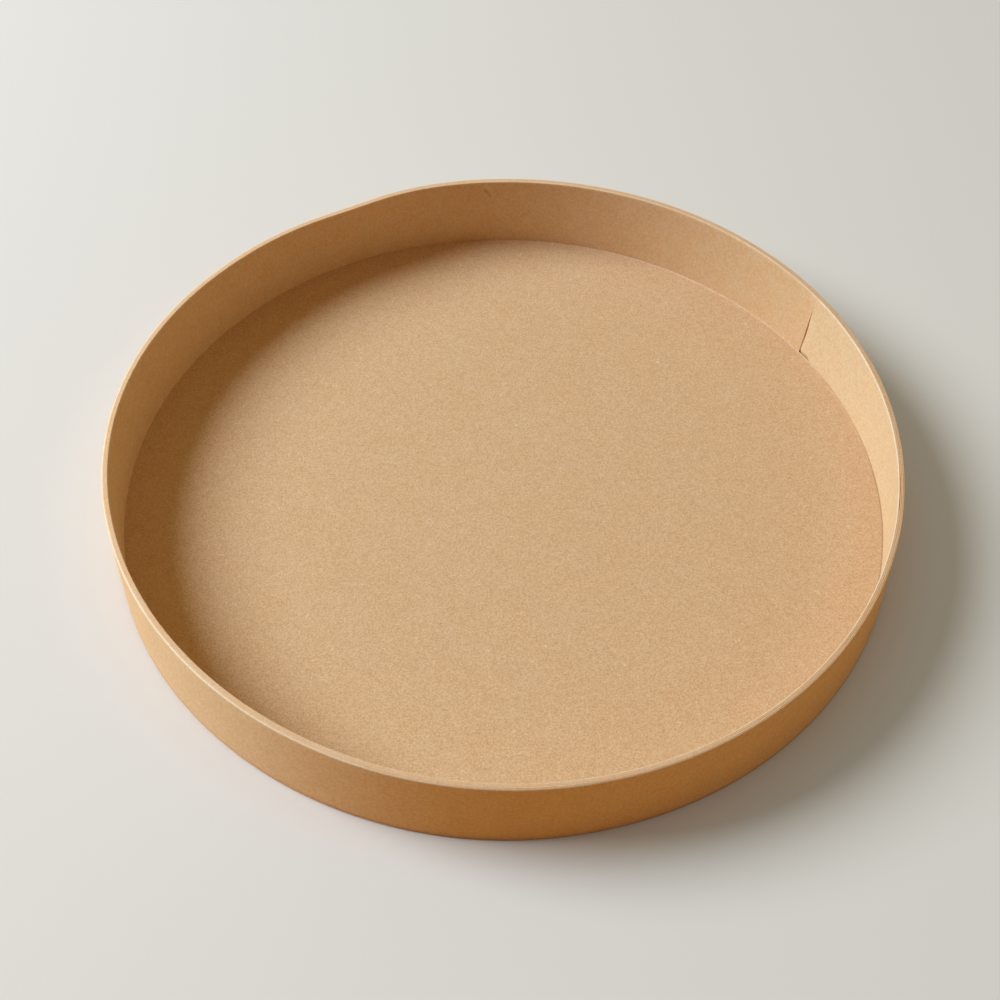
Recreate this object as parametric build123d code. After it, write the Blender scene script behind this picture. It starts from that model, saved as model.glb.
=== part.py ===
from build123d import *
import os
from math import cos, degrees, exp, radians, sin

# Kraft-board serving platter: a hoop wound from thin board, with a flat disc glued into its foot.
# Millimetres, +Z up, origin under the middle of the platter on the surface it stands on.
# Angles run anticlockwise from +X as seen from above.

# Hoop: turns of thin board, held round at the foot by the disc
foot_radius = 150.0
wall_height = 35.5
ply_thickness = 0.6
ply_count = 4

# Edges of the hoop, rounded over by handling: the rim's roundings are narrow facets, the foot's a bevel
rim_outer_rounding = 0.75
rim_inner_rounding = 0.4
rim_facets = 2
foot_bevel = 0.6

# Disc: die-cut board, flush with the foot of the hoop
base_thickness = 2.0
base_clearance = 0.1
base_edge_rounding = 0.3

# Rim out of round: the free edge of the hoop springs into three shallow lobes
lobe_count = 3
lobe_swing = 0.8
lobe_angle = 51.0

# Flat spot of the rim at the back left, with a sharper knock beside its middle
flat_depth = 1.6
flat_angle = 133.0
flat_spread = 22.0
knock_depth = 2.0
knock_angle = 118.0
knock_spread = 9.0

# Lap: the end of the innermost turn, on the inside at the back right.
# It stands one ply proud of the turn beneath it up to its lift, and nearly flush from its press to the rim.
lap_angle = 32.8
lap_lean = 3.0
lap_fade = 8.0
lap_lift = 13.0
lap_press = 27.5
lap_rim_step = 0.1

# Parted turn: on the right, a short stretch of the innermost turn has sprung away from the next at the rim
parted_angle = -9.5
parted_run = 18.0
parted_gap = 0.3
parted_depth = 0.8

# Outlines are smooth curves in equal sectors, each through evenly spaced points
sector_count = 8
sector_points = 10

wall_thickness = ply_thickness * ply_count
inner_radius = foot_radius - wall_thickness


def polar(radius, angle, height):
    """Point at a radius, an angle in degrees and a height."""
    return Vector(radius * cos(radians(angle)), radius * sin(radians(angle)), height)


def angle_between(angle, reference):
    """Signed difference of two angles in degrees, from -180 to 180."""
    return (angle - reference + 180.0) % 360.0 - 180.0


def push(angle, depth, centre, spread):
    """Inward push of a soft dent at an angle."""
    return depth * exp(-((angle_between(angle, centre) / spread) ** 2))


def rim_shift(angle):
    """How far the rim stands out from the foot at an angle."""
    lobes = lobe_swing * cos(radians(lobe_count * (angle - lobe_angle)))
    flat = push(angle, flat_depth, flat_angle, flat_spread)
    knock = push(angle, knock_depth, knock_angle, knock_spread)
    return lobes - flat - knock


def wall_shift(angle, height):
    """How far the wall stands out from the foot: not at all beside the disc, then leaning to the rim."""
    rise = max(height - base_thickness, 0.0)
    return rim_shift(angle) * rise / (wall_height - base_thickness)


def outline(radius, height):
    """Closed face of the hoop's outline at a height."""
    def at(angle):
        return polar(radius + wall_shift(angle, height), angle, height)

    sector = 360.0 / sector_count
    gap = sector / sector_points
    edges = []
    for index in range(sector_count):
        start = sector * index
        points = [at(start + gap * step) for step in range(sector_points)]
        points.append(at(sector * ((index + 1) % sector_count)))
        tangents = [at(end + 0.1) - at(end - 0.1) for end in (start, start + sector)]
        edges.append(Spline(*points, tangents=tangents))
    return make_face(edges)


def rim_sections(radius, rounding, side):
    """Outlines that round the rim over, from the wall to the crown; side is 1 outwards and -1 inwards."""
    sections = []
    for step in range(rim_facets + 1):
        turn = radians(90.0 * step / rim_facets)
        over = side * rounding * (1.0 - cos(turn))
        below = rounding * (1.0 - sin(turn))
        sections.append(outline(radius + over, wall_height - below))
    return sections


def outer_body():
    """Solid inside the hoop's outer face: bevelled foot, leaning wall, rim rounded inwards."""
    foot = outline(foot_radius - foot_bevel, 0.0)
    heel = outline(foot_radius, foot_bevel)
    seat = outline(foot_radius, base_thickness)
    return loft([foot, heel, seat, *rim_sections(foot_radius, rim_outer_rounding, -1.0)], ruled=True)


def inner_space():
    """Space inside the hoop's inner face: round beside the disc, opening out at the rim."""
    foot = outline(inner_radius, 0.0)
    seat = outline(inner_radius, base_thickness)
    return loft([foot, seat, *rim_sections(inner_radius, rim_inner_rounding, 1.0)], ruled=True)


def lap_section(height, depth):
    """Wedge of the step beside the lap at a height: deepest at the seam, running out along the wall."""
    angle = lap_angle - degrees(lap_lean / inner_radius) * height / wall_height
    radius = inner_radius + wall_shift(angle, height)
    deep = polar(radius + depth, angle, height)
    run_out = polar(radius, angle - degrees(lap_fade / inner_radius), height)
    inside = deep + (run_out - deep) * 1.5
    back = polar(radius - lap_fade / 2.0, angle, height)
    return make_face(Polyline(deep, inside, back, close=True))


def lap_step():
    """Step at the end of the innermost turn, from the foot to the rim."""
    lifted = [lap_section(height, ply_thickness) for height in (0.0, lap_lift)]
    pressed = [lap_section(height, lap_rim_step) for height in (lap_press, wall_height)]
    return loft(lifted + pressed, ruled=True)


def parted_slot():
    """Narrow curved gap between the two innermost turns, open at the rim."""
    sweep = degrees(parted_run / inner_radius)
    start = parted_angle - sweep / 2.0
    middle = inner_radius + ply_thickness + rim_shift(parted_angle)
    reach = parted_gap / 2.0
    sides = [CenterArc((0.0, 0.0), radius, start, sweep) for radius in (middle - reach, middle + reach)]
    ends = [Line(sides[0] @ end, sides[1] @ end) for end in (0.0, 1.0)]
    return extrude(Pos(0.0, 0.0, wall_height) * make_face(sides + ends), parted_depth, both=True)


def side_wall():
    """Wound hoop with its rounded rim, dented outline, lap step and parted turn."""
    return outer_body() - inner_space() - lap_step() - parted_slot()


def base_disc():
    """Flat disc that fits inside the foot of the hoop."""
    radius = inner_radius - base_clearance
    disc = extrude(Circle(radius), base_thickness)
    return fillet(disc.edges().group_by(Axis.Z)[-1], base_edge_rounding)


os.makedirs("parts", exist_ok=True)
for name, piece in (("side_wall", side_wall()), ("base_disc", base_disc())):
    export_step(piece, f"parts/{name}.step")
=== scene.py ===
"""Kraft-board serving platter: a wound hoop with a flat disc in its foot, as the photograph shows it."""
import logging
import math
from dataclasses import dataclass, field
from enum import Enum
from typing import Callable

import bmesh
import bpy
import numpy as np
from mathutils import Matrix, Vector


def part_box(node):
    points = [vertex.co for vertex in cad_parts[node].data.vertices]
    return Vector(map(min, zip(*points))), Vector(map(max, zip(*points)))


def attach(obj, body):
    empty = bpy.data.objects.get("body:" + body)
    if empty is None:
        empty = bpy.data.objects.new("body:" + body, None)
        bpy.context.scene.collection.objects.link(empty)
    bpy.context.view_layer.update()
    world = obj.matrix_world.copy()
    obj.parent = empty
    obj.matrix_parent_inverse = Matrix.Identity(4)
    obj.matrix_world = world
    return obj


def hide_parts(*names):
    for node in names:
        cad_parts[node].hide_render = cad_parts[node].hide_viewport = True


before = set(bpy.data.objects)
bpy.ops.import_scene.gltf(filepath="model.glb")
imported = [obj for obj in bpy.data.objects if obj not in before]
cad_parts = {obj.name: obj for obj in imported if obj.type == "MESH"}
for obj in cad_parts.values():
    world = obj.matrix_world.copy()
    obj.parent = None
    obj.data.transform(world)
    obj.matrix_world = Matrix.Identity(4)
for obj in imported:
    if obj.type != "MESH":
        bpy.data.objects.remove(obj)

LOG = logging.getLogger("platter")
MM = 0.001
MERGE = 0.001 * MM
CLOSE = 0.01 * MM
BODY = "root"
WEAR_AND_PAINTED_LIGHT = "wear"
BLACK = (0.0, 0.0, 0.0)
WHITE = (1.0, 1.0, 1.0)
Colour = tuple[float, float, float]
Section = list[tuple[float, float]]


class BoardFace(Enum):
    """Faces of a board piece; the value is the piece's material index."""

    SHEET = 0
    CUT_EDGE = 1


class LampRole(Enum):
    """Lamps of the studio; the value is the lamp's name."""

    KEY = "key_softbox"
    FILL = "fill_softbox"


@dataclass
class PolarPoints:
    """Points of a round piece: angle in degrees, radius and height in metres."""

    angle: np.ndarray
    radius: np.ndarray
    height: np.ndarray

    @classmethod
    def of(cls, mesh: bpy.types.Mesh) -> "PolarPoints":
        """Read a mesh's vertices.

        Args:
            mesh: The mesh, with the piece's axis on Z.

        Returns:
            The vertices in polar form, in the mesh's order.
        """
        flat = np.empty(len(mesh.vertices) * 3)
        mesh.vertices.foreach_get("co", flat)
        x, y, z = flat.reshape(-1, 3).T
        return cls(np.degrees(np.arctan2(y, x)), np.hypot(x, y), z.copy())

    def store(self, mesh: bpy.types.Mesh) -> None:
        """Write the points back to a mesh.

        Args:
            mesh: The mesh that the points were read from.
        """
        turn = np.radians(self.angle)
        points = np.stack([self.radius * np.cos(turn), self.radius * np.sin(turn), self.height], axis=1)
        mesh.vertices.foreach_set("co", points.ravel())
        mesh.update()


def angle_from(angle: np.ndarray, reference: float) -> np.ndarray:
    """Signed difference of angles from a reference.

    Args:
        angle: Angles in degrees.
        reference: The angle to measure from.

    Returns:
        Differences from -180 to 180 degrees.
    """
    return (angle - reference + 180.0) % 360.0 - 180.0


def smooth_step(value: np.ndarray, low: float, high: float) -> np.ndarray:
    """Smooth ramp from 0 at low to 1 at high; it falls where high is the smaller.

    Args:
        value: Where to read the ramp.
        low: Start of the ramp.
        high: End of the ramp.

    Returns:
        The ramp's values.
    """
    share = np.clip((value - low) / (high - low), 0.0, 1.0)
    return share * share * (3.0 - 2.0 * share)


def bell(off: np.ndarray, width: float) -> np.ndarray:
    """Soft bump: 1 where off is 0, falling past its width to 0."""
    return np.exp(-((off / width) ** 2))


def facing(angle: np.ndarray, towards: float) -> np.ndarray:
    """How far a round piece faces an angle: 1 there, 0 on the far side."""
    return 0.5 + 0.5 * np.cos(np.radians(angle - towards))


def stretch(angle: np.ndarray, ends: tuple[float, ...]) -> np.ndarray:
    """Part of the round: rises between the first two of four angles, and falls between the last two."""
    return np.interp(angle, ends, (0.0, 1.0, 1.0, 0.0))


def turn_of(point: Vector) -> float:
    """Angle of a point round the Z axis, in degrees."""
    return math.degrees(math.atan2(point.y, point.x))


def arc(centre: tuple[float, float], radius: float, start: float, end: float, steps: int) -> Section:
    """Points of a section along an arc, between its ends.

    Args:
        centre: Radius and height of the arc's centre.
        radius: The arc's own radius.
        start: Angle of its start in degrees, from outward to upward.
        end: Angle of its end.
        steps: Steps from end to end.

    Returns:
        Radius and height of each point.
    """
    turns = [math.radians(start + (end - start) * step / steps) for step in range(1, steps)]
    return [(centre[0] + radius * math.cos(turn), centre[1] + radius * math.sin(turn)) for turn in turns]


def mark_wear_and_painted_light(mesh: bpy.types.Mesh, values: np.ndarray) -> None:
    """Store the wear, with its painted highlights and painted shade, at each point of a mesh, for its
    finishes.
    """
    mesh.attributes.new(WEAR_AND_PAINTED_LIGHT, "FLOAT", "POINT").data.foreach_set("value", values)


class Bench:
    """Edit-mode tools that shape new pieces."""

    @staticmethod
    def clear() -> None:
        """Deselect every object."""
        bpy.ops.object.select_all(action="DESELECT")

    @classmethod
    def revolve(cls, name: str, section: Section, columns: int, closed: bool) -> bpy.types.Object:
        """Draw a section point by point and spin it round the Z axis.

        Args:
            name: Name of the new piece.
            section: Radius and height of each point, in order.
            columns: Steps of the full turn.
            closed: Whether the section is a closed loop.

        Returns:
            The new object, at the origin, with outward faces.
        """
        cls.clear()
        bpy.ops.mesh.primitive_plane_add(size=MM)
        piece = bpy.context.object
        piece.name = name
        piece.data.name = name
        bpy.ops.object.mode_set(mode="EDIT")
        bpy.ops.mesh.select_mode(type="VERT")
        bpy.ops.mesh.select_all(action="SELECT")
        bpy.ops.mesh.merge(type="CENTER")
        bpy.ops.transform.translate(value=(section[0][0], 0.0, section[0][1]))
        path = section[1:] + section[:1] if closed else section[1:]
        before = section[0]
        for point in path:
            step = (point[0] - before[0], 0.0, point[1] - before[1])
            bpy.ops.mesh.extrude_vertices_move(TRANSFORM_OT_translate={"value": step})
            before = point
        bpy.ops.mesh.select_all(action="SELECT")
        bpy.ops.mesh.remove_doubles(threshold=MERGE)
        bpy.ops.mesh.spin(steps=columns, angle=math.tau, center=(0, 0, 0), axis=(0, 0, 1))
        bpy.ops.mesh.select_all(action="SELECT")
        bpy.ops.mesh.remove_doubles(threshold=MERGE)
        bpy.ops.mesh.normals_make_consistent(inside=False)
        bpy.ops.object.mode_set(mode="OBJECT")
        return piece

    @staticmethod
    def refine(piece: bpy.types.Object, wanted: Callable[[Vector, Vector], bool], cuts: int) -> None:
        """Subdivide the edges of a piece that a test picks.

        Args:
            piece: The piece to refine.
            wanted: Test of an edge's two end points.
            cuts: Cuts on each picked edge.
        """
        Bench.clear()
        piece.select_set(True)
        bpy.context.view_layer.objects.active = piece
        bpy.ops.object.mode_set(mode="EDIT")
        bpy.ops.mesh.select_mode(type="EDGE")
        bpy.ops.mesh.select_all(action="DESELECT")
        edit = bmesh.from_edit_mesh(piece.data)
        for edge in edit.edges:
            edge.select_set(wanted(edge.verts[0].co, edge.verts[1].co))
        bmesh.update_edit_mesh(piece.data)
        bpy.ops.mesh.subdivide(number_cuts=cuts)
        bpy.ops.object.mode_set(mode="OBJECT")

    @staticmethod
    def smooth(piece: bpy.types.Object, angle: float = 40.0) -> None:
        """Shade a piece smooth, with sharp edges past an angle.

        Args:
            piece: The piece to shade.
            angle: The angle in degrees.
        """
        Bench.clear()
        piece.select_set(True)
        bpy.context.view_layer.objects.active = piece
        bpy.ops.object.shade_smooth_by_angle(angle=math.radians(angle))


class NodeSheet:
    """Adds and links the nodes of one node tree."""

    def __init__(self, tree: bpy.types.NodeTree) -> None:
        """Start on a tree."""
        self.tree = tree

    def add(self, kind: str, **values: object) -> bpy.types.Node:
        """Add a node and set its properties.

        Args:
            kind: The node's type name.
            **values: Properties of the node.

        Returns:
            The new node.
        """
        node = self.tree.nodes.new(kind)
        for key, value in values.items():
            setattr(node, key, value)
        return node

    def feed(self, socket: bpy.types.NodeSocket, value: object) -> None:
        """Link a socket to another socket, or set its value.

        Args:
            socket: The input socket.
            value: An output socket, or a plain value.
        """
        if isinstance(value, bpy.types.NodeSocket):
            self.tree.links.new(value, socket)
        else:
            socket.default_value = value

    def math(self, operation: str, first: object, second: object = 0.0) -> bpy.types.NodeSocket:
        """Add a math node.

        Args:
            operation: The node's operation.
            first: First value or socket.
            second: Second value or socket.

        Returns:
            The node's result.
        """
        node = self.add("ShaderNodeMath", operation=operation)
        self.feed(node.inputs[0], first)
        self.feed(node.inputs[1], second)
        return node.outputs[0]

    def ramp(self, value: object, low: float, high: float,
             start: float = 0.0, end: float = 1.0) -> bpy.types.NodeSocket:
        """Add a smooth map from one range to another.

        Args:
            value: The socket to map.
            low: Value that gives start.
            high: Value that gives end.
            start: Result at low.
            end: Result at high.

        Returns:
            The mapped value.
        """
        node = self.add("ShaderNodeMapRange", interpolation_type="SMOOTHSTEP")
        for socket, entry in zip(node.inputs, (value, low, high, start, end)):
            self.feed(socket, entry)
        return node.outputs[0]

    def noise(self, vector: object, scale: object, detail: float,
              distortion: float = 0.0) -> bpy.types.NodeSocket:
        """Add a noise texture.

        Args:
            vector: Where to read the noise.
            scale: Features per metre.
            detail: Octaves.
            distortion: Warp of the features.

        Returns:
            The noise value.
        """
        node = self.add("ShaderNodeTexNoise")
        self.feed(node.inputs["Vector"], vector)
        self.feed(node.inputs["Scale"], scale)
        self.feed(node.inputs["Detail"], detail)
        self.feed(node.inputs["Distortion"], distortion)
        return node.outputs["Fac"]

    def mix(self, share: object, first: object, second: object, blend: str = "MIX") -> bpy.types.NodeSocket:
        """Add a colour mix.

        Args:
            share: Share of the second colour.
            first: First colour, plain or from a socket.
            second: Second colour, likewise.
            blend: The node's blend type.

        Returns:
            The mixed colour.
        """
        node = self.add("ShaderNodeMix", data_type="RGBA", blend_type=blend)
        self.feed(node.inputs[0], share)
        for socket, colour in zip(node.inputs[6:8], (first, second)):
            self.feed(socket, (*colour, 1.0) if isinstance(colour, tuple) else colour)
        return node.outputs[2]


class FibreGrain:
    """Shared effect: pressed wood fibres of kraft board, as tones, threads, specks and relief."""

    NAME = "kraft_fibres"
    INPUTS = ("Grain Scale", "Cloud Scale", "Thread Scale")
    OUTPUTS = ("Grain", "Cloud", "Pale Threads", "Dark Threads", "Specks", "Relief")
    OCTAVES = ((0.25, 0.11), (1.0, 0.46), (2.6, 0.43))
    GRAIN_RANGE = (0.34, 0.66)
    CLOUD_RANGE = (0.38, 0.62)
    PALE_SHIFT = 0.37
    DARK_SHIFT = 1.91
    THREAD_WIDTH = 0.016
    THREAD_RELIEF = 0.35
    BREAK_SCALE = 1.7
    BREAK_RANGE = (0.5, 0.62)
    SPECK_SCALE = 0.9
    SPECK_RADII = (0.16, 0.06)
    SPECK_PICK = (0.8, 0.83)

    def group(self) -> bpy.types.NodeTree:
        """Return the node group, built on first use."""
        return bpy.data.node_groups.get(self.NAME) or self.build()

    def build(self) -> bpy.types.NodeTree:
        """Build the node group.

        Returns:
            The new group, with a vector and three scales in, and masks and a relief out.
        """
        tree = bpy.data.node_groups.new(self.NAME, "ShaderNodeTree")
        tree.interface.new_socket("Vector", in_out="INPUT", socket_type="NodeSocketVector")
        for name in self.INPUTS:
            tree.interface.new_socket(name, in_out="INPUT", socket_type="NodeSocketFloat")
        for name in self.OUTPUTS:
            tree.interface.new_socket(name, in_out="OUTPUT", socket_type="NodeSocketFloat")
        sheet = NodeSheet(tree)
        source = sheet.add("NodeGroupInput").outputs
        vector = source["Vector"]
        grain = 0.0
        for size, weight in self.OCTAVES:
            noise = sheet.noise(vector, sheet.math("MULTIPLY", source["Grain Scale"], size), detail=2.0)
            grain = sheet.math("ADD", grain, sheet.math("MULTIPLY", noise, weight))
        cloud = sheet.noise(vector, source["Cloud Scale"], detail=4.0)
        pale = self.threads(sheet, vector, source["Thread Scale"], self.PALE_SHIFT)
        dark = self.threads(sheet, vector, source["Thread Scale"], self.DARK_SHIFT)
        specks = self.specks(sheet, vector, source["Thread Scale"])
        relief = sheet.math("ADD", grain, sheet.math("MULTIPLY", pale, self.THREAD_RELIEF))
        sink = sheet.add("NodeGroupOutput").inputs
        for name, value in zip(self.OUTPUTS, (grain, cloud, pale, dark, specks, relief)):
            sheet.feed(sink[name], value)
        return tree

    def threads(self, sheet: NodeSheet, vector: object, scale: object, offset: float) -> bpy.types.NodeSocket:
        """Thin curly fibres, broken into short lengths.

        Args:
            sheet: The group's nodes.
            vector: Where to read the pattern.
            scale: Threads per metre.
            offset: Shift that makes one set of threads unlike another.

        Returns:
            A mask, 1 on a thread.
        """
        moved = sheet.add("ShaderNodeVectorMath", operation="ADD")
        sheet.feed(moved.inputs[0], vector)
        sheet.feed(moved.inputs[1], (offset, 2.0 * offset, -offset))
        level = sheet.noise(moved.outputs[0], scale, detail=1.0, distortion=0.6)
        off_middle = sheet.math("ABSOLUTE", sheet.math("SUBTRACT", level, 0.5))
        line = sheet.ramp(off_middle, 0.0, self.THREAD_WIDTH, 1.0, 0.0)
        lengths = sheet.math("MULTIPLY", scale, self.BREAK_SCALE)
        breaks = sheet.noise(moved.outputs[0], lengths, detail=0.0)
        return sheet.math("MULTIPLY", line, sheet.ramp(breaks, *self.BREAK_RANGE))

    def specks(self, sheet: NodeSheet, vector: object, scale: object) -> bpy.types.NodeSocket:
        """Small dark shives, on a few cells only.

        Args:
            sheet: The group's nodes.
            vector: Where to read the pattern.
            scale: Cells per metre.

        Returns:
            A mask, 1 on a speck.
        """
        cells = sheet.add("ShaderNodeTexVoronoi")
        sheet.feed(cells.inputs["Vector"], vector)
        sheet.feed(cells.inputs["Scale"], sheet.math("MULTIPLY", scale, self.SPECK_SCALE))
        split = sheet.add("ShaderNodeSeparateColor")
        sheet.feed(split.inputs[0], cells.outputs["Color"])
        outer, inner = self.SPECK_RADII
        dot = sheet.ramp(cells.outputs["Distance"], inner, outer, 1.0, 0.0)
        chosen = sheet.ramp(split.outputs[0], *self.SPECK_PICK)
        return sheet.math("MULTIPLY", dot, chosen)


@dataclass(frozen=True)
class KraftFinish:
    """Matt unbleached board: a tan, its pale and dark fibres, and how strongly they show."""

    name: str
    tan: Colour
    deep: Colour
    pale: Colour
    dark: Colour
    warm: Colour = (1.0, 0.93, 0.84)
    grain_scale: float = 1400.0
    cloud_scale: float = 60.0
    thread_scale: float = 330.0
    cloud_share: float = 0.7
    pale_share: float = 0.3
    dark_share: float = 0.2
    speck_share: float = 0.3
    relief: float = 0.05 * MM
    roughness: float = 0.86
    specular: float = 0.22

    def material(self) -> bpy.types.Material:
        """Build the finish as a material.

        Returns:
            The new material.
        """
        material = bpy.data.materials.new(self.name)
        material.use_nodes = True
        material.node_tree.nodes.clear()
        sheet = NodeSheet(material.node_tree)
        place = sheet.add("ShaderNodeTexCoord").outputs["Object"]
        fibres = sheet.add("ShaderNodeGroup", node_tree=FibreGrain().group())
        for name, value in zip(("Vector",) + FibreGrain.INPUTS, self.scales(place)):
            sheet.feed(fibres.inputs[name], value)
        shader = sheet.add("ShaderNodeBsdfPrincipled")
        sheet.feed(shader.inputs["Base Color"], self.colour(sheet, fibres.outputs))
        sheet.feed(shader.inputs["Roughness"], self.gloss(sheet, fibres.outputs))
        sheet.feed(shader.inputs["Specular IOR Level"], self.specular)
        bump = sheet.add("ShaderNodeBump")
        sheet.feed(bump.inputs["Strength"], 1.0)
        sheet.feed(bump.inputs["Distance"], self.relief)
        sheet.feed(bump.inputs["Height"], fibres.outputs["Relief"])
        sheet.feed(shader.inputs["Normal"], bump.outputs[0])
        output = sheet.add("ShaderNodeOutputMaterial")
        sheet.feed(output.inputs["Surface"], shader.outputs[0])
        return material

    def scales(self, place: bpy.types.NodeSocket) -> tuple[object, ...]:
        """Values of the fibre group's inputs, in order."""
        return place, self.grain_scale, self.cloud_scale, self.thread_scale

    def gloss(self, sheet: NodeSheet, fibres: bpy.types.NodeOutputs) -> bpy.types.NodeSocket:
        """Roughness, a little lower on the raised grain.

        Args:
            sheet: The material's nodes.
            fibres: Outputs of the fibre group.

        Returns:
            The roughness.
        """
        return sheet.ramp(fibres["Grain"], 0.3, 0.7, self.roughness + 0.05, self.roughness - 0.05)

    def colour(self, sheet: NodeSheet, fibres: bpy.types.NodeOutputs) -> bpy.types.NodeSocket:
        """Board colour: clouds and grain of tan, then pale threads, dark threads and specks.

        Args:
            sheet: The material's nodes.
            fibres: Outputs of the fibre group.

        Returns:
            The base colour.
        """
        board = sheet.mix(sheet.ramp(fibres["Grain"], *FibreGrain.GRAIN_RANGE), self.deep, self.tan)
        clouds = sheet.ramp(fibres["Cloud"], *FibreGrain.CLOUD_RANGE, 0.0, self.cloud_share)
        board = sheet.mix(1.0, board, sheet.mix(clouds, WHITE, self.warm), "MULTIPLY")
        layers = (("Pale Threads", self.pale_share, self.pale), ("Dark Threads", self.dark_share, self.dark),
                  ("Specks", self.speck_share, self.dark))
        for name, share, tone in layers:
            board = sheet.mix(sheet.math("MULTIPLY", fibres[name], share), board, tone)
        return board


@dataclass(frozen=True)
class WornAndPaintedLightFinish(KraftFinish):
    """Board with pale places and dark ones: rubbed edges and glue between turns, and painted highlights and
    painted shade.
    """

    def colour(self, sheet: NodeSheet, fibres: bpy.types.NodeOutputs) -> bpy.types.NodeSocket:
        """Board colour, paler where the wear is above 0 and darker where it is below; the pale side holds
        painted highlights too, the dark side painted shade.

        Args:
            sheet: The material's nodes.
            fibres: Outputs of the fibre group.

        Returns:
            The base colour.
        """
        board = super().colour(sheet, fibres)
        wear = sheet.add("ShaderNodeAttribute", attribute_name=WEAR_AND_PAINTED_LIGHT).outputs["Fac"]
        hollow = tuple(pale * deep / tan for pale, deep, tan in zip(self.pale, self.deep, self.tan))
        # Pale side: rubbed places and painted highlights.
        rubbed_and_painted_light = sheet.mix(sheet.ramp(fibres["Grain"], *FibreGrain.GRAIN_RANGE), hollow, self.pale)
        board = sheet.mix(sheet.math("MAXIMUM", wear, 0.0), board, rubbed_and_painted_light)
        # Dark side: glue between turns and painted shade.
        glue_and_painted_shade = sheet.math("MAXIMUM", sheet.math("MULTIPLY", wear, -1.0), 0.0)
        return sheet.mix(glue_and_painted_shade, board, self.dark)


@dataclass(frozen=True)
class Finishes:
    """Finishes of the platter's boards."""

    # The pale and dark colours also serve the painted highlights and painted shade that the wear attribute
    # carries.
    wall: WornAndPaintedLightFinish = WornAndPaintedLightFinish(
        "kraft_wall", tan=(0.785, 0.565, 0.337), deep=(0.675, 0.452, 0.252), pale=(0.925, 0.775, 0.505),
        dark=(0.33, 0.17, 0.07), grain_scale=900.0, cloud_scale=170.0, cloud_share=0.6, pale_share=0.14,
        dark_share=0.08, speck_share=0.1, relief=0.02 * MM, specular=0.1)
    rim: WornAndPaintedLightFinish = WornAndPaintedLightFinish(
        "kraft_cut_edge", tan=(0.77, 0.53, 0.33), deep=(0.66, 0.435, 0.26), pale=(0.945, 0.84, 0.66),
        dark=(0.4, 0.235, 0.12), relief=0.06 * MM)
    floor: WornAndPaintedLightFinish = WornAndPaintedLightFinish(
        "kraft_floor", tan=(0.708, 0.5, 0.305), deep=(0.54, 0.322, 0.169), pale=(0.93, 0.77, 0.59),
        dark=(0.32, 0.18, 0.1), cloud_share=0.25)


@dataclass(frozen=True)
class RimShape:
    """Out-of-round form of the hoop's free edge: three lobes, a flat spot and a knock."""

    lobe_count: int = 3
    lobe_swing: float = 0.8 * MM
    lobe_angle: float = 51.0
    flat_depth: float = 1.6 * MM
    flat_angle: float = 133.0
    flat_spread: float = 22.0
    knock_depth: float = 2.0 * MM
    knock_angle: float = 118.0
    knock_spread: float = 9.0

    def shift(self, angle: np.ndarray) -> np.ndarray:
        """How far the rim stands out from the foot.

        Args:
            angle: Angles in degrees.

        Returns:
            Radial shifts in metres.
        """
        lobes = self.lobe_swing * np.cos(np.radians(self.lobe_count * (angle - self.lobe_angle)))
        flat = self.flat_depth * bell(angle_from(angle, self.flat_angle), self.flat_spread)
        knock = self.knock_depth * bell(angle_from(angle, self.knock_angle), self.knock_spread)
        return lobes - flat - knock


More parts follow.
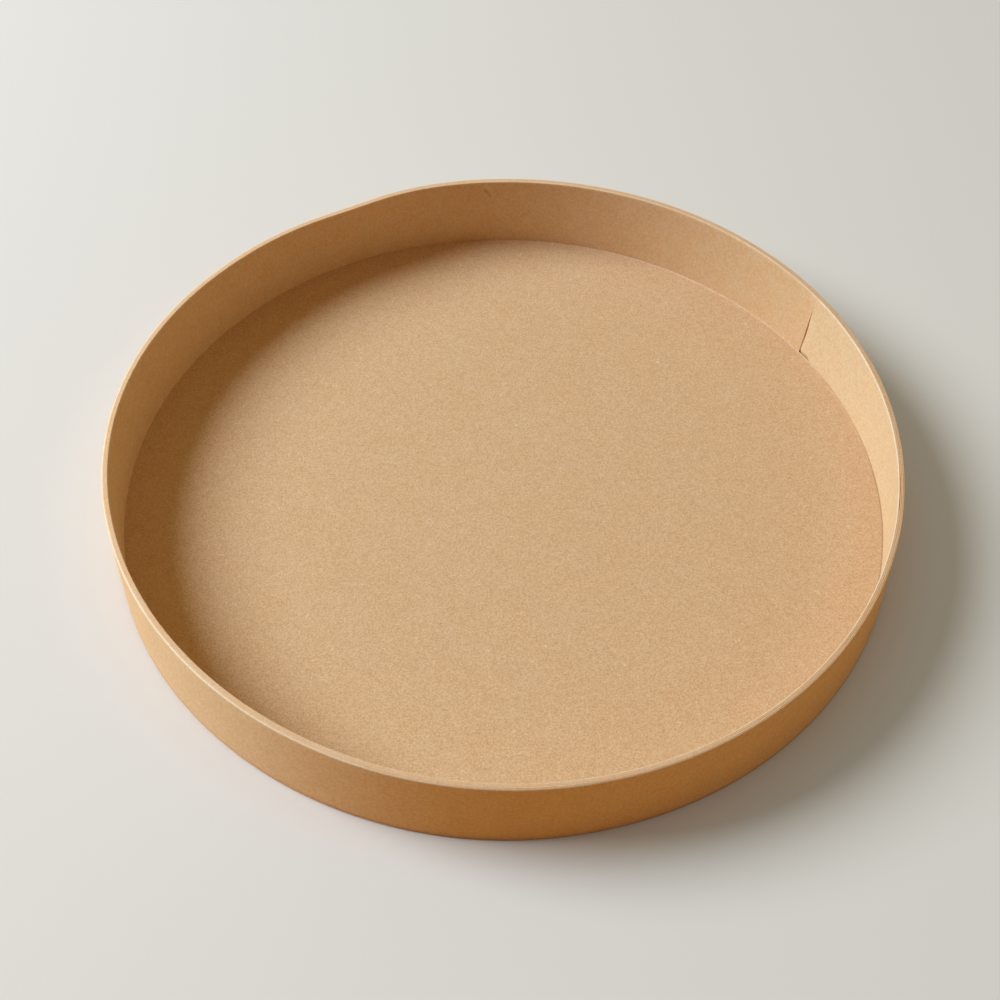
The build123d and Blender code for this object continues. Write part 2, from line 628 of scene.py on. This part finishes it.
@dataclass(frozen=True)
class LapSeam:
    """End of the innermost turn: a leaning slit that gapes at half height, and along the foot beside it."""

    angle: float = 32.8
    lean: float = 1.2
    reach: float = 4.5
    edge_gap: float = 0.012
    fade: float = 6.0 * MM
    gape_heights_mm: tuple[float, ...] = (0.0, 3.0, 5.0, 13.0, 21.0, 27.5, 36.0)
    gape_depths_mm: tuple[float, ...] = (0.0, 0.5, 0.3, 0.65, 0.4, 0.04, 0.03)
    foot_depth: float = 0.65 * MM
    foot_run: float = 8.0 * MM
    foot_height: float = 4.0 * MM
    tone: float = 0.4
    tone_reach: float = 60.0
    tone_soft: float = 3.5
    tone_soft_heights: tuple[float, float] = (22.0 * MM, 32.0 * MM)
    gap_painted_shade: float = 0.9
    tick_painted_shade: float = 0.4
    tick_width: float = 0.2
    tick_height: float = 1.5 * MM

    def press(self, points: PolarPoints, inside: np.ndarray, column: float, top: float) -> None:
        """Lean the columns beside the seam and sink the turn beneath the step.

        Args:
            points: The hoop's points, which are changed.
            inside: 1 on the inner face, falling to 0 through the wall.
            column: Angle between neighbouring columns at the seam.
            top: Height of the rim.
        """
        off = angle_from(points.angle, self.angle)
        step = np.round(off / column)
        snapped = np.where(step == 0.0, self.edge_gap, np.where(step == -1.0, 0.0, off))
        lean = self.lean * points.height / top * bell(off, self.reach)
        near = np.abs(off) < 3.0 * self.reach
        points.angle = np.where(near, self.angle + snapped - lean, points.angle)
        run = np.radians(np.maximum(-snapped, 0.0)) * points.radius
        beneath = (snapped < 0.5 * self.edge_gap) & near
        depth = MM * np.interp(points.height / MM, self.gape_heights_mm, self.gape_depths_mm)
        depth = depth * np.clip(1.0 - run / self.fade, 0.0, 1.0) ** 2
        foot = self.foot_depth * smooth_step(points.height, self.foot_height, 0.5 * self.foot_height)
        foot = foot * (points.height > 0.2 * self.foot_height)
        foot = foot * smooth_step(run, self.foot_run, 0.6 * self.foot_run)
        points.radius = points.radius + inside * beneath * np.maximum(depth, foot)

    def wear(self, points: PolarPoints, top: float) -> np.ndarray:
        """Tone beside the seam: the turn beneath is paler, and painted shade darkens the gaps at its foot and
        rim.

        Args:
            points: The hoop's points, with the seam leaning.
            top: Height of the rim.

        Returns:
            Wear from -1 to 1.
        """
        off = angle_from(points.angle, self.angle - self.lean * points.height / top)
        beneath = off < 0.5 * self.edge_gap
        soft = self.edge_gap + self.tone_soft * smooth_step(points.height, *self.tone_soft_heights)
        ends = self.tone * np.clip(0.5 - off / soft, 0.0, 1.0)
        ends = ends * np.clip(1.0 - np.abs(off) / self.tone_reach, 0.0, 1.0)
        run = np.radians(np.maximum(-off, 0.0)) * points.radius
        # Painted shade: the recess along the foot beside the seam is darkened.
        gap = beneath * smooth_step(run, self.foot_run, 0.7 * self.foot_run)
        gap = gap * (points.height < 0.75 * self.foot_height)
        # Painted shade: a dark tick at the top of the seam, just under the rim.
        tick = bell(off, self.tick_width) * (points.height > top - self.tick_height)
        return ends - self.gap_painted_shade * gap - self.tick_painted_shade * tick


@dataclass(frozen=True)
class PartedPly:
    """Short stretch of the rim where the innermost turn has come away from the next."""

    start: float = -5.0
    full: float = -7.0
    step: float = -9.8
    end: float = -13.0
    end_run: float = 0.3
    depth: float = 0.5 * MM
    width: float = 0.2 * MM
    narrow_width: float = 0.13 * MM

    def groove(self, angle: np.ndarray, off: np.ndarray) -> np.ndarray:
        """Depth of the gap below the rim.

        Args:
            angle: Angles in degrees.
            off: Radial distance from the joint between the two turns.

        Returns:
            Depths in metres.
        """
        along = smooth_step(angle, self.start, self.full)
        along = along * smooth_step(angle, self.end - self.end_run, self.end)
        width = np.where(angle > self.step, self.width, self.narrow_width)
        return self.depth * along * np.exp(-((off / width) ** 4))


@dataclass(frozen=True)
class WallNick:
    """Small slanting scuff on the inner wall, just under the rim at the back."""

    top_angle: float = 94.5
    foot_angle: float = 92.8
    top_height: float = 34.9 * MM
    foot_height: float = 27.2 * MM
    width: float = 0.55 * MM
    depth: float = 0.5 * MM
    lip: float = 0.22 * MM
    margin: float = 3.0
    pale: float = 0.8
    spot_painted_shade: float = 0.6
    shade_spots: tuple[tuple[float, float, float], ...] = ((0.42, 0.16, 1.0), (0.08, 0.12, 0.8))

    def holds(self, angle: float, height: float) -> bool:
        """Whether a place lies in the patch of wall round the nick."""
        low, high = self.foot_angle - self.margin / 2.0, self.top_angle + self.margin / 2.0
        return low < angle < high and self.foot_height - self.margin * MM < height < self.top_height

    def course(self, points: PolarPoints) -> tuple[np.ndarray, np.ndarray]:
        """Where points lie along and across the nick.

        Args:
            points: The hoop's points.

        Returns:
            Shares of the way from its foot to its top, and distances to one side of it.
        """
        along = (points.height - self.foot_height) / (self.top_height - self.foot_height)
        centre = self.foot_angle + (self.top_angle - self.foot_angle) * along
        return along, np.radians(angle_from(points.angle, 0.0) - centre) * points.radius

    def push(self, points: PolarPoints) -> np.ndarray:
        """Outward push of the wall at the nick.

        Args:
            points: The hoop's points.

        Returns:
            Radial pushes in metres.
        """
        along, across = self.course(points)
        body = smooth_step(along, -0.05, 0.15) * smooth_step(along, 1.0, 0.35)
        hollow = self.depth * body * bell(across, self.width)
        edge = self.lip * smooth_step(along, -0.1, 0.1) * bell(across + 2.0 * self.width, self.width)
        return hollow - edge * (along < 1.0)

    def wear(self, points: PolarPoints) -> np.ndarray:
        """Pale torn lip of the nick, and dark spots of painted shade beside its hollow.

        Args:
            points: The hoop's points.

        Returns:
            Wear from -1 to 1.
        """
        along, across = self.course(points)
        lip = smooth_step(along, -0.1, 0.1) * (along < 1.0)
        lip = lip * bell(across + 0.6 * self.width, 0.8 * self.width)
        # Painted shade: dark spots at the side of the nick's hollow.
        spots = sum(dark * bell(along - place, reach) for place, reach, dark in self.shade_spots)
        return self.pale * lip - self.spot_painted_shade * spots * bell(across - 1.6 * self.width, self.width)


@dataclass
class WoundHoop:
    """Upright hoop: turns of kraft board, rounded at the rim, with its lap seam, dent and scuffs."""

    foot_radius: float
    inner_radius: float
    height: float
    seat_height: float
    ply_count: int = 4
    outer_rounding: float = 0.75 * MM
    outer_crush: float = 0.35 * MM
    crush_angle: float = 235.0
    fray: float = 0.12 * MM
    inner_rounding: float = 0.42 * MM
    foot_rounding: float = 0.8 * MM
    rim_drop: float = 0.08 * MM
    rim_pitch: float = 0.08 * MM
    outer_steps: int = 20
    inner_steps: int = 8
    row_pitch: float = 1.2 * MM
    columns: int = 480
    fine_reach: float = 6.0
    seam_cuts: int = 9
    nick_cuts: int = 7
    ply_groove: float = 0.1 * MM
    ply_groove_width: float = 0.13 * MM
    ply_waver: float = 0.03 * MM
    ply_glue: float = 0.9
    inner_joint: float = 0.55
    ply_angle: float = 5.0
    front_painted_light: float = 0.36
    front_light_angle: float = 270.0
    left_painted_light: float = 0.48
    left_light_angle: float = 233.0
    left_light_reach: float = 30.0
    inner_rub: float = 0.5
    outer_painted_highlight: float = 0.8
    highlight_angle: float = 190.0
    foot_painted_shade: float = 0.7
    rim_shape: RimShape = field(default_factory=RimShape)
    lap: LapSeam = field(default_factory=LapSeam)
    parted: PartedPly = field(default_factory=PartedPly)
    nick: WallNick = field(default_factory=WallNick)

    @classmethod
    def from_frame(cls, wall: bpy.types.Object, disc_box: tuple, clearance: float) -> "WoundHoop":
        """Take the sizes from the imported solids.

        Args:
            wall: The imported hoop.
            disc_box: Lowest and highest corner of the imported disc.
            clearance: Gap between the disc and the hoop.

        Returns:
            The hoop, not yet built.
        """
        points = PolarPoints.of(wall.data)
        low, high = Vector(disc_box[0]), Vector(disc_box[1])
        seat = points.radius[np.abs(points.height - high.z) < CLOSE]
        inner = (high.x - low.x) / 2.0 + clearance
        return cls(float(seat.max()), inner, float(points.height.max()), high.z)

    @property
    def thickness(self) -> float:
        """Thickness of the wall."""
        return self.foot_radius - self.inner_radius

    @property
    def ply(self) -> float:
        """Thickness of one turn."""
        return self.thickness / self.ply_count

    def rim_path(self) -> Section:
        """Rounded rim from the outer face to the inner face.

        Returns:
            Radius and height of each point.
        """
        outer, inner = self.outer_rounding, self.inner_rounding
        outer_centre = (self.foot_radius - outer, self.height - self.rim_drop - outer)
        inner_centre = (self.inner_radius + inner, self.height - inner)
        path = arc(outer_centre, outer, 0.0, 90.0, self.outer_steps)
        span = outer_centre[0] - inner_centre[0]
        count = round(span / self.rim_pitch)
        for step in range(count + 1):
            share = step / count
            path.append((outer_centre[0] - span * share, self.height - self.rim_drop * (1.0 - share)))
        return path + arc(inner_centre, inner, 90.0, 180.0, self.inner_steps)

    def section(self) -> Section:
        """Closed section of the wall: up the outer face, over the rim, down the inner face.

        Returns:
            Radius and height of each point.
        """
        low = self.foot_rounding
        outer_top = self.height - self.rim_drop - self.outer_rounding
        inner_top = self.height - self.inner_rounding
        rows = round(outer_top / self.row_pitch / 2.0)
        points = [(self.foot_radius - low, 0.0)]
        points += [(self.foot_radius, low + (outer_top - low) * row / rows) for row in range(rows + 1)]
        points += self.rim_path()
        rows = round(inner_top / self.row_pitch)
        points += [(self.inner_radius, inner_top - (inner_top - low) * row / rows) for row in range(rows + 1)]
        points.append((self.inner_radius + low, 0.0))
        return points

    def build(self) -> bpy.types.Object:
        """Model the hoop.

        Returns:
            The finished mesh object.
        """
        piece = Bench.revolve("wound_hoop", self.section(), self.columns, closed=True)
        column = 360.0 / self.columns
        for centre in (self.lap.angle, self.parted.step):
            self.refine_columns(piece, centre, self.fine_reach, column)
        self.refine_nick(piece)
        self.shape(piece)
        Bench.smooth(piece)
        return piece

    def refine_columns(self, piece: bpy.types.Object, centre: float, reach: float, column: float) -> None:
        """Add columns over a stretch of the hoop.

        Args:
            piece: The hoop.
            centre: Middle of the stretch, in degrees.
            reach: Half of the stretch, in degrees.
            column: Angle between the hoop's first columns.
        """
        def wanted(first: Vector, second: Vector) -> bool:
            """Whether an edge runs round the hoop on this stretch."""
            turns = [angle_from(turn_of(end), centre) for end in (first, second)]
            return max(map(abs, turns)) < reach and abs(turns[0] - turns[1]) > 0.5 * column

        Bench.refine(piece, wanted, self.seam_cuts)

    def refine_nick(self, piece: bpy.types.Object) -> None:
        """Add points to the patch of inner wall round the nick.

        Args:
            piece: The hoop.
        """
        limit = self.inner_radius + CLOSE

        def wanted(first: Vector, second: Vector) -> bool:
            """Whether an edge lies on the inner wall, in the nick's patch."""
            inside = max(first.xy.length, second.xy.length) < limit
            return inside and all(self.nick.holds(turn_of(end), end.z) for end in (first, second))

        Bench.refine(piece, wanted, self.nick_cuts)

    def shape(self, piece: bpy.types.Object) -> None:
        """Press the seam, the turns, the nick and the dent into the round hoop.

        Args:
            piece: The hoop, still round.
        """
        mesh = piece.data
        points = PolarPoints.of(mesh)
        self.crush_rim(points)
        depth = self.foot_radius - points.radius
        wear = self.edge_wear_and_painted_light(points, depth) - self.groove_plies(points, depth)
        inside = smooth_step(depth, self.thickness - self.ply, self.thickness - 0.1 * self.ply)
        on_wall = depth > self.thickness - CLOSE
        points.radius = points.radius + self.nick.push(points) * on_wall
        wear = wear + self.nick.wear(points) * on_wall
        self.lap.press(points, inside, 360.0 / self.columns / (self.seam_cuts + 1), self.height)
        mark_wear_and_painted_light(mesh, np.clip(wear + self.lap.wear(points, self.height) * inside, -1.0, 1.0))
        share = np.clip((points.height - self.seat_height) / (self.height - self.seat_height), 0.0, 1.0)
        points.radius = points.radius + share * self.rim_shape.shift(points.angle)
        points.store(mesh)

    @staticmethod
    def patches(angle: np.ndarray) -> np.ndarray:
        """Uneven handling of the rim: slow and quick changes round the hoop.

        Args:
            angle: Angles in degrees.

        Returns:
            Values from -1 to 1.
        """
        turn = np.radians(angle)
        slow = np.sin(17.0 * turn) * np.sin(31.0 * turn + 1.0)
        return 0.5 * slow + 0.5 * np.sin(53.0 * turn + 2.0) * np.sin(79.0 * turn)

    def crush_rim(self, points: PolarPoints) -> None:
        """Round the rim's outer edge more on the crushed side and less on the other.

        Args:
            points: The hoop's points, still round, which are changed.
        """
        first, foot, top = self.outer_rounding, self.foot_rounding, self.height - self.rim_drop
        size = first + self.outer_crush * np.cos(np.radians(points.angle - self.crush_angle))
        size = size + self.fray * self.patches(points.angle)
        depth = self.foot_radius - points.radius
        flat_end = self.thickness - self.inner_rounding
        rounded = (depth <= first) & (points.height >= top - first)
        side = (depth < CLOSE) & ~rounded
        crown = (depth > first) & (depth < flat_end) & (points.height > top - CLOSE)
        scale = size / first
        spread = size + (depth - first) * (flat_end - size) / (flat_end - first)
        lift = (points.height - foot) * (top - size - foot) / (top - first - foot)
        points.radius = np.where(rounded, self.foot_radius - depth * scale, points.radius)
        points.radius = np.where(crown, self.foot_radius - spread, points.radius)
        raised = np.where(rounded, top - (top - points.height) * scale, points.height)
        points.height = np.where(side & (raised > foot), foot + lift, raised)

    def edge_wear_and_painted_light(self, points: PolarPoints, depth: np.ndarray) -> np.ndarray:
        """Painted light on the outer face, palest at the front left; pale rubbed lines on the rim's edges;
        painted shade at the foot.

        Args:
            points: The hoop's points.
            depth: Distance of each point from the outer face.

        Returns:
            Wear from -1 to 1.
        """
        # Painted light: the outer face is made paler towards the front, and most at the front left, standing
        # in for light falling on that side.
        tone = self.front_painted_light * facing(points.angle, self.front_light_angle) ** 2
        tone = tone + self.left_painted_light * bell(angle_from(points.angle, self.left_light_angle), self.left_light_reach)
        faces = tone * np.clip(1.0 - depth / self.ply, 0.0, 1.0)
        patchy = 0.7 + 0.3 * self.patches(points.angle)
        below = self.height - points.height
        inward = self.thickness - depth
        edge = self.inner_rounding
        inner = smooth_step(inward, 0.9 * edge, 0.5 * edge) * smooth_step(below, 1.4 * edge, 0.7 * edge)
        edge = self.outer_rounding
        outer = smooth_step(depth, 1.1 * edge, 0.4 * edge) * smooth_step(below, 1.4 * edge, 0.6 * edge)
        # Painted highlight: the pale line on the outer rounding is strongest on the side facing the key lamp.
        outer = outer * facing(points.angle, self.highlight_angle) ** 3
        # Painted shade: the foot's lowest band is darkened where it meets the floor.
        foot = self.foot_painted_shade * (points.height < 1.2 * self.foot_rounding) * (depth < 1.5 * self.ply)
        return faces + patchy * (self.inner_rub * inner + self.outer_painted_highlight * outer) - foot

    def groove_plies(self, points: PolarPoints, depth: np.ndarray) -> np.ndarray:
        """Sink fine lines between the turns into the rim, and the gap of the parted turn.

        Args:
            points: The hoop's points, which are changed.
            depth: Distance of each point from the outer face.

        Returns:
            How dark the lines are, from 0 to 1.
        """
        on_rim = points.height > self.height - self.rim_drop - self.outer_rounding - self.outer_crush
        turn = np.radians(points.angle)
        clear = 0.2 + 0.8 * facing(points.angle, self.ply_angle) ** 2
        lines = np.zeros_like(depth)
        for joint in range(1, self.ply_count):
            waver = self.ply_waver * (np.sin(7.0 * turn + joint) + np.sin(23.0 * turn + 2.0 * joint))
            strength = clear * (0.8 + 0.2 * np.sin(11.0 * turn + 3.0 * joint) * np.sin(29.0 * turn - joint))
            strength = strength * (self.inner_joint if joint == self.ply_count - 1 else 1.0)
            off = depth - joint * self.ply - waver
            lines += strength * bell(off, self.ply_groove_width) * (depth > 2.0 * CLOSE)
        parted = self.parted.groove(points.angle, depth - (self.ply_count - 1) * self.ply)
        points.height = points.height - np.maximum(self.ply_groove * lines, parted) * on_rim
        return self.ply_glue * lines * on_rim

    def dress(self, piece: bpy.types.Object, finishes: Finishes) -> None:
        """Give the hoop its finishes and its place in the frame.

        Args:
            piece: The hoop.
            finishes: The platter's finishes.
        """
        piece.data.materials.append(finishes.wall.material())
        piece.data.materials.append(finishes.rim.material())
        rim_level = self.height - self.rim_drop - 0.8 * self.outer_rounding
        for face in piece.data.polygons:
            on_edge = face.center.z > rim_level or face.normal.z < -0.9
            face.material_index = (BoardFace.CUT_EDGE if on_edge else BoardFace.SHEET).value
        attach(piece, BODY)
        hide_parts("side_wall")


@dataclass
class FloorDisc:
    """Flat die-cut disc that closes the foot of the hoop."""

    radius: float
    thickness: float
    edge_rounding: float = 0.12 * MM
    burr_height: float = 0.16 * MM
    burr_width: float = 0.45 * MM
    burr_angle: float = 44.0
    burr_reach: float = 42.0
    edge_highlight_angles: tuple[float, ...] = (26.5, 29.5, 62.0, 90.0)
    edge_highlight_width: float = 0.5 * MM
    edge_highlight_share: float = 0.45
    painted_shade_angle: float = -10.0
    painted_shade_width: float = 18.0 * MM
    painted_shade_share: float = 0.12
    gap_angles: tuple[float, ...] = (-60.0, -40.0, 6.0, 16.0)
    gap_width: float = 0.55 * MM
    gap_painted_shade: float = 0.4
    columns: int = 360
    rings: int = 40
    burr_steps: int = 8
    edge_steps: int = 6

    @classmethod
    def from_frame(cls, disc_box: tuple, reach: float) -> "FloorDisc":
        """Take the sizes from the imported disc.

        Args:
            disc_box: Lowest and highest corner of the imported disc.
            reach: How far the board is pressed out towards the hoop.

        Returns:
            The disc, not yet built.
        """
        low, high = Vector(disc_box[0]), Vector(disc_box[1])
        return cls((high.x - low.x) / 2.0 + reach, high.z)

    def section(self) -> Section:
        """Half section of the disc, from the middle of the top to the middle of the underside.

        Returns:
            Radius and height of each point.
        """
        flat = self.radius - self.edge_rounding - 2.0 * self.burr_width
        points = [(flat * ring / self.rings, self.thickness) for ring in range(self.rings + 1)]
        for step in range(1, self.burr_steps + 1):
            share = step / self.burr_steps
            rise = self.burr_height * math.sin(0.5 * math.pi * share) ** 2
            points.append((flat + 2.0 * self.burr_width * share, self.thickness + rise))
        corner = self.radius - self.edge_rounding
        top = self.thickness + self.burr_height - self.edge_rounding
        points += arc((corner, top), self.edge_rounding, 90.0, 0.0, self.edge_steps)
        points += [(self.radius, top), (self.radius, 0.0)]
        points += [(self.radius * share, 0.0) for share in (0.75, 0.5, 0.25, 0.0)]
        return points

    def build(self) -> bpy.types.Object:
        """Model the disc.

        Returns:
            The finished mesh object.
        """
        piece = Bench.revolve("floor_disc", self.section(), self.columns, closed=False)
        points = PolarPoints.of(piece.data)
        off = np.abs(angle_from(points.angle, self.burr_angle))
        share = smooth_step(off, self.burr_reach, 0.6 * self.burr_reach)
        burr = np.maximum(points.height - self.thickness, 0.0)
        points.height = points.height - burr * (1.0 - share)
        points.store(piece.data)
        mark_wear_and_painted_light(piece.data, self.wear(points))
        Bench.smooth(piece)
        return piece

    def wear(self, points: PolarPoints) -> np.ndarray:
        """Painted highlight along the edge at the back right, and painted shade: a darker band and a dark
        line along the right.

        Args:
            points: The disc's points.

        Returns:
            Wear from -1 to 1.
        """
        inward = self.radius - points.radius
        # Painted highlight: a pale line along the disc's edge at the back right, on the side facing the key
        # lamp.
        scuff = stretch(points.angle, self.edge_highlight_angles)
        scuff = scuff * smooth_step(inward, 1.5 * self.edge_highlight_width, self.edge_highlight_width)
        # Painted shade: a darker band within the outer 18 mm of the floor, strongest on the right.
        band = facing(points.angle, self.painted_shade_angle) ** 2 * smooth_step(inward, self.painted_shade_width, 0.0)
        # Painted shade: a dark line along the crease on the right.
        gap = stretch(points.angle, self.gap_angles)
        gap = gap * smooth_step(inward, 1.4 * self.gap_width, 0.6 * self.gap_width)
        tone = self.edge_highlight_share * scuff - self.painted_shade_share * band - self.gap_painted_shade * gap
        return tone * (points.height > 0.5 * self.thickness)

    def dress(self, piece: bpy.types.Object, finishes: Finishes) -> None:
        """Give the disc its finish and its place in the frame.

        Args:
            piece: The disc.
            finishes: The platter's finishes.
        """
        piece.data.materials.append(finishes.floor.material())
        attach(piece, BODY)
        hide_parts("base_disc")


@dataclass(frozen=True)
class Softbox:
    """Round soft lamp: where it stands round the platter, and how bright a white card facing it looks."""

    role: LampRole
    azimuth: float
    elevation: float
    distance: float
    size: float
    level: float
    colour: Colour

    def place(self) -> bpy.types.Object:
        """Add the lamp, aimed at the middle of the platter.

        Returns:
            The lamp.
        """
        lamp = bpy.data.lights.new(self.role.value, "AREA")
        lamp.shape = "DISK"
        lamp.size = self.size
        lamp.color = self.colour
        lamp.energy = self.level * (math.pi * self.distance) ** 2
        holder = bpy.data.objects.new(self.role.value, lamp)
        bpy.context.collection.objects.link(holder)
        turn, rise = math.radians(self.azimuth), math.radians(self.elevation)
        towards = Vector((math.cos(rise) * math.cos(turn), math.cos(rise) * math.sin(turn), math.sin(rise)))
        holder.location = towards * self.distance
        holder.rotation_euler = towards.to_track_quat("Z", "Y").to_euler()
        return holder


@dataclass
class Studio:
    """Pale floor, soft lamps and a dim world."""

    floor_size: float = 6.0
    floor_fade: tuple[float, float] = (0.5, 1.2)
    floor_pale: Colour = (0.695, 0.615, 0.56)
    floor_lift: Colour = (0.01, 0.075, 0.105)
    floor_bounce: Colour = (0.66, 0.35, 0.11)
    shade_reach: float = 20.0 * MM
    world_pale: Colour = (0.76, 0.75, 0.72)
    world_low: Colour = (0.1, 0.015, 0.0)
    world_high: Colour = (0.37, 0.255, 0.09)
    world_axis: tuple[float, float, float] = (0.0, 0.5, 0.866)
    world_range: tuple[float, float] = (0.1, 0.9)
    lamps: tuple[Softbox, ...] = (
        Softbox(LampRole.KEY, azimuth=170.0, elevation=41.0, distance=2.3, size=1.35, level=1.25,
                colour=(0.86, 1.0, 1.11)),
        Softbox(LampRole.FILL, azimuth=-20.0, elevation=28.0, distance=2.3, size=1.6, level=0.12,
                colour=(1.0, 0.95, 0.58)),
    )

    @staticmethod
    def seen(sheet: NodeSheet) -> bpy.types.NodeSocket:
        """Light Path mask of the rays that show the background.

        Args:
            sheet: The nodes of the floor or the world.

        Returns:
            1 for camera, glossy and transmission rays.
        """
        path = sheet.add("ShaderNodeLightPath").outputs
        shown = sheet.math("MAXIMUM", path["Is Camera Ray"], path["Is Glossy Ray"])
        return sheet.math("MAXIMUM", shown, path["Is Transmission Ray"])

    def floor_material(self) -> bpy.types.Material:
        """Matt floor: pale to look at, warm in the light it throws back, and as pale as the world far off.

        Returns:
            The new material.
        """
        material = bpy.data.materials.new("studio_floor")
        material.use_nodes = True
        sheet = NodeSheet(material.node_tree)
        shader = material.node_tree.nodes["Principled BSDF"]
        reach = sheet.add("ShaderNodeVectorMath", operation="LENGTH")
        sheet.feed(reach.inputs[0], sheet.add("ShaderNodeTexCoord").outputs["Object"])
        far = sheet.ramp(reach.outputs["Value"], *self.floor_fade)
        pale = sheet.mix(far, self.floor_pale, BLACK)
        colour = sheet.mix(self.seen(sheet), self.floor_bounce, pale)
        open_air = sheet.add("ShaderNodeAmbientOcclusion", samples=8)
        sheet.feed(open_air.inputs["Distance"], self.shade_reach)
        shown = sheet.math("MULTIPLY", self.seen(sheet), open_air.outputs["AO"])
        glow = sheet.mix(far, self.floor_lift, self.world_pale)
        lift = sheet.mix(shown, BLACK, glow)
        sheet.feed(shader.inputs["Base Color"], colour)
        sheet.feed(shader.inputs["Emission Color"], lift)
        sheet.feed(shader.inputs["Emission Strength"], 1.0)
        sheet.feed(shader.inputs["Roughness"], 1.0)
        sheet.feed(shader.inputs["Specular IOR Level"], 0.0)
        return material

    def world(self) -> bpy.types.World:
        """Dim room: low light near the horizon and more from overhead, behind a pale backdrop.

        Returns:
            The new world.
        """
        world = bpy.data.worlds.new("studio_world")
        world.use_nodes = True
        sheet = NodeSheet(world.node_tree)
        rise = sheet.add("ShaderNodeVectorMath", operation="DOT_PRODUCT")
        sheet.feed(rise.inputs[0], sheet.add("ShaderNodeTexCoord").outputs["Generated"])
        sheet.feed(rise.inputs[1], self.world_axis)
        height = sheet.ramp(rise.outputs["Value"], *self.world_range)
        room = sheet.mix(height, self.world_low, self.world_high)
        colour = sheet.mix(self.seen(sheet), room, self.world_pale)
        sheet.feed(world.node_tree.nodes["Background"].inputs["Color"], colour)
        return world

    def build(self) -> None:
        """Add the floor, the world and the lamps."""
        Bench.clear()
        bpy.ops.mesh.primitive_plane_add(size=self.floor_size)
        floor = bpy.context.object
        floor.name = "studio_floor"
        floor.data.materials.append(self.floor_material())
        bpy.context.scene.world = self.world()
        for lamp in self.lamps:
            lamp.place()
        bpy.context.scene.view_settings.view_transform = "Standard"


@dataclass(frozen=True)
class PhotoCamera:
    """Camera at the photograph's viewing angle."""

    lens: float = 57.8
    aim: tuple[float, float, float] = (-1.7 * MM, -2.5 * MM, 0.0)
    distance: float = 631.3 * MM
    elevation: float = 50.78
    roll: float = 0.92

    def place(self) -> None:
        """Add the camera and make it the scene's own."""
        data = bpy.data.cameras.new("photo_camera")
        data.lens = self.lens
        camera = bpy.data.objects.new("photo_camera", data)
        bpy.context.collection.objects.link(camera)
        rise = math.radians(self.elevation)
        back = Vector((0.0, -math.cos(rise), math.sin(rise)))
        upright = back.to_track_quat("Z", "Y").to_matrix().to_4x4()
        spot = Matrix.Translation(Vector(self.aim) + back * self.distance)
        camera.matrix_world = spot @ upright @ Matrix.Rotation(math.radians(self.roll), 4, "Z")
        bpy.context.scene.camera = camera


def main() -> None:
    """Build the platter, its studio and its camera."""
    logging.basicConfig(level=logging.INFO, format="%(name)s: %(message)s")
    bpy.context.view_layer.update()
    finishes = Finishes()
    disc_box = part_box("base_disc")
    hoop = WoundHoop.from_frame(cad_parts["side_wall"], disc_box, clearance=0.1 * MM)
    disc = FloorDisc.from_frame(disc_box, reach=0.08 * MM)
    for maker in (hoop, disc):
        piece = maker.build()
        maker.dress(piece, finishes)
        LOG.info("%s: %d points, %d faces", piece.name, len(piece.data.vertices), len(piece.data.polygons))
    Studio().build()
    PhotoCamera().place()


if __name__ == "__main__":
    main()
